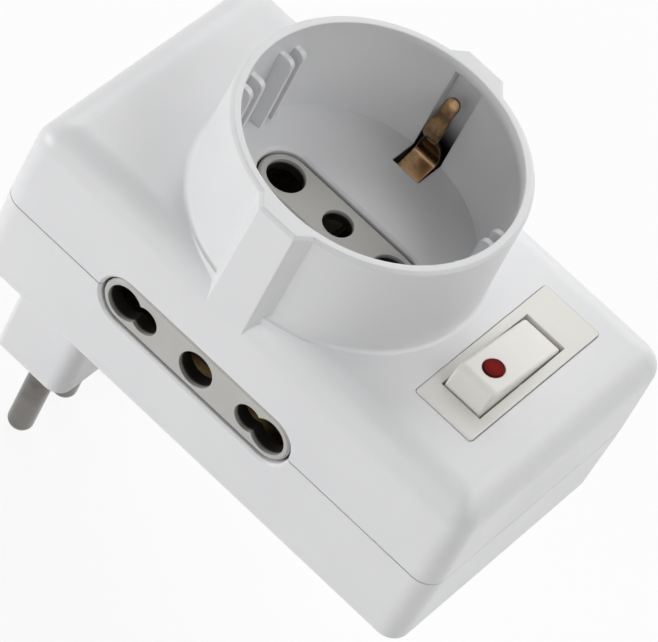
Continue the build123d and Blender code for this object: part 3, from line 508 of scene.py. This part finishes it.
def makeSpringClip(name, node, side, look):
    # a closed strip: faces between neighbouring rings, and one over each end
    points = clipPoints(look, middleX(node), side)
    ids = np.arange(points.shape[0] * points.shape[1]).reshape(points.shape[:2])
    after = np.roll(ids, -1, axis=1)
    quads = np.stack([ids[:-1], after[:-1], after[1:], ids[1:]], 2).reshape(-1, 4)
    faces = [quad[::side] for quad in quads.tolist()]
    faces += [ids[0].tolist()[::-side], ids[-1].tolist()[::side]]
    mesh = bpy.data.meshes.new(name)
    mesh.from_pydata(points.reshape(-1, 3).tolist(), [], faces)
    mesh.polygons.foreach_set("use_smooth", np.ones(len(faces), bool))
    mesh.materials.append(finishes["spring_bronze"])
    mesh.update()
    clip = bpy.data.objects.new(name, mesh)
    bpy.context.scene.collection.objects.link(clip)
    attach(clip, "housing")
    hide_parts(node)


makeSpringClip("springClipRear", "earth_clip_rear", 1, springClip)
makeSpringClip("springClipFront", "earth_clip_front", -1, springClip)
print("spring clips made")


# floor, light and camera

studio = dict(floorSize=3.0, floorTone=0.90, seenGlow=0.90, worldFill=0.02, white=(1.0, 1.0, 1.0, 1.0))


def seenDirectly(tree):
    # 1 for a ray from the camera, a reflection or glass, otherwise 0
    ray = addNode(tree, "ShaderNodeLightPath")
    mirrored = mathNode(tree, "MAXIMUM", ray.outputs["Is Glossy Ray"], ray.outputs["Is Transmission Ray"])
    return mathNode(tree, "MAXIMUM", ray.outputs["Is Camera Ray"], mirrored)


def makeFloor(look):
    # a flat sheet under the pins: pale paper, with a glow mixed in where it is seen directly
    z = cadBox[0][2]
    half = look["floorSize"] / 2
    corners = [(-half, -half, z), (half, -half, z), (half, half, z), (-half, half, z)]
    mesh = bpy.data.meshes.new("floor")
    mesh.from_pydata(corners, [], [(0, 1, 2, 3)])
    floor = bpy.data.objects.new("floor", mesh)
    bpy.context.scene.collection.objects.link(floor)
    material = bpy.data.materials.new("floor")
    material.use_nodes = True
    tree = material.node_tree
    tree.nodes.clear()
    glow = addNode(tree, "ShaderNodeEmission", {"Color": look["white"], "Strength": 1.0})
    paper = addNode(tree, "ShaderNodeBsdfDiffuse", {"Color": (*[look["floorTone"]] * 3, 1.0)})
    share = mathNode(tree, "MULTIPLY", seenDirectly(tree), look["seenGlow"])
    mix = addNode(tree, "ShaderNodeMixShader", {0: share, 1: paper.outputs[0], 2: glow.outputs[0]})
    addNode(tree, "ShaderNodeOutputMaterial", {"Surface": mix.outputs[0]})
    mesh.materials.append(material)


def makeWorld(look):
    # white where it is seen directly, a weak fill for everything else
    world = bpy.data.worlds.new("studio")
    world.use_nodes = True
    tree = world.node_tree
    tree.nodes.clear()
    strength = mapRange(tree, seenDirectly(tree), end=(look["worldFill"], 1.0))
    sky = addNode(tree, "ShaderNodeBackground", {"Color": look["white"], "Strength": strength})
    addNode(tree, "ShaderNodeOutputWorld", {"Surface": sky.outputs[0]})
    bpy.context.scene.world = world


lampDistance = 0.8
lamps = {
    "lowLeftStrip": dict(azimuth=-45.0, elevation=3.0, width=0.6, height=0.08, watts=3.6),
    "frontBox": dict(azimuth=0.0, elevation=28.0, width=0.6, height=0.6, watts=1.1),
    "rightBox": dict(azimuth=90.0, elevation=42.0, width=0.6, height=0.6, watts=1.95),
    "backRightBox": dict(azimuth=135.0, elevation=50.0, width=0.6, height=0.6, watts=1.65),
    "backBox": dict(azimuth=180.0, elevation=28.0, width=0.6, height=0.6, watts=1.7),
    "backLeftBox": dict(azimuth=-135.0, elevation=41.0, width=0.6, height=0.6, watts=2.6),
}


def direction(azimuth, elevation):
    # unit vector towards a place given by its angle round from -Y and its height over the floor
    a, e = np.radians([azimuth, elevation])
    return Vector((np.sin(a) * np.cos(e), -np.cos(a) * np.cos(e), np.sin(e)))


def makeLamp(name, look, target):
    # an area lamp at the given angles and lampDistance, facing the target
    data = bpy.data.lights.new(name, "AREA")
    data.shape = "RECTANGLE"
    data.size = look["width"]
    data.size_y = look["height"]
    data.energy = look["watts"]
    towards = direction(look["azimuth"], look["elevation"])
    facing = towards.to_track_quat("Z", "Y").to_matrix().to_4x4()
    lamp = bpy.data.objects.new(name, data)
    lamp.matrix_world = Matrix.Translation(target + towards * lampDistance) @ facing
    bpy.context.scene.collection.objects.link(lamp)


photoView = dict(azimuth=16.7549, elevation=48.6746, roll=30.1377, distance=0.6649,
                 focalPixels=4976.0, imageWidth=658, sensorWidth=36.0, clip=(0.01, 50.0),
                 aim=(0.0236, 0.0, 0.0345), slide=(-0.003513, 0.004668))


def makeCamera(look):
    # stands at the photo's angle, rolled about its own line of sight and slid in its own plane
    back = direction(look["azimuth"], look["elevation"])
    level = Vector((0.0, 0.0, 1.0)).cross(back).normalized()
    upright = back.cross(level)
    roll = np.radians(look["roll"])
    right = level * np.cos(roll) + upright * np.sin(roll)
    up = upright * np.cos(roll) - level * np.sin(roll)
    data = bpy.data.cameras.new("photoView")
    data.sensor_fit = "HORIZONTAL"
    data.sensor_width = look["sensorWidth"]
    data.lens = look["focalPixels"] / look["imageWidth"] * look["sensorWidth"]
    data.clip_start, data.clip_end = look["clip"]
    camera = bpy.data.objects.new("photoView", data)
    spot = Vector(look["aim"]) + back * look["distance"]
    spot -= right * look["slide"][0] + up * look["slide"][1]
    camera.matrix_world = Matrix.Translation(spot) @ Matrix((right, up, back)).transposed().to_4x4()
    bpy.context.scene.collection.objects.link(camera)
    bpy.context.scene.camera = camera


makeFloor(studio)
makeWorld(studio)
for name, look in lamps.items():
    makeLamp(name, look, Vector(photoView["aim"]))
makeCamera(photoView)
bpy.context.scene.view_settings.view_transform = "Standard"
print("floor, light and camera set")
